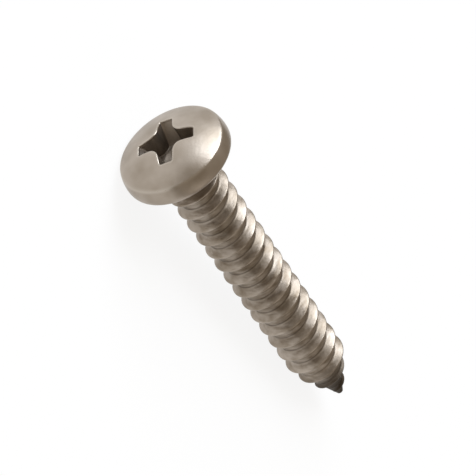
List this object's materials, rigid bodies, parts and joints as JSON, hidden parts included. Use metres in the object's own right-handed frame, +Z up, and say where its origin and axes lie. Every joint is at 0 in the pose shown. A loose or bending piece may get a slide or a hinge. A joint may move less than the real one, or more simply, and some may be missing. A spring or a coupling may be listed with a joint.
{
  "type": "self-tapping screw",
  "caption": "Pan head tapping screw with a cross recess, a coarse full-length thread and a cone point, for fastening sheet metal or plastic through a plain hole.",
  "frame": {"origin": "on the surface that the screw lies on, under the middle of its box", "axes": "+X from the head towards the point, +Z up; the screw's own axis lies in the XZ plane, 5.13 degrees off X, with the head end higher"},
  "size_m": [0.0276, 0.008, 0.008],
  "materials": {
    "stainless_steel": "satin stainless steel, cold formed and tumbled"
  },
  "bodies": {
    "root": {"screw": "stainless_steel"}
  },
  "joints": []
}
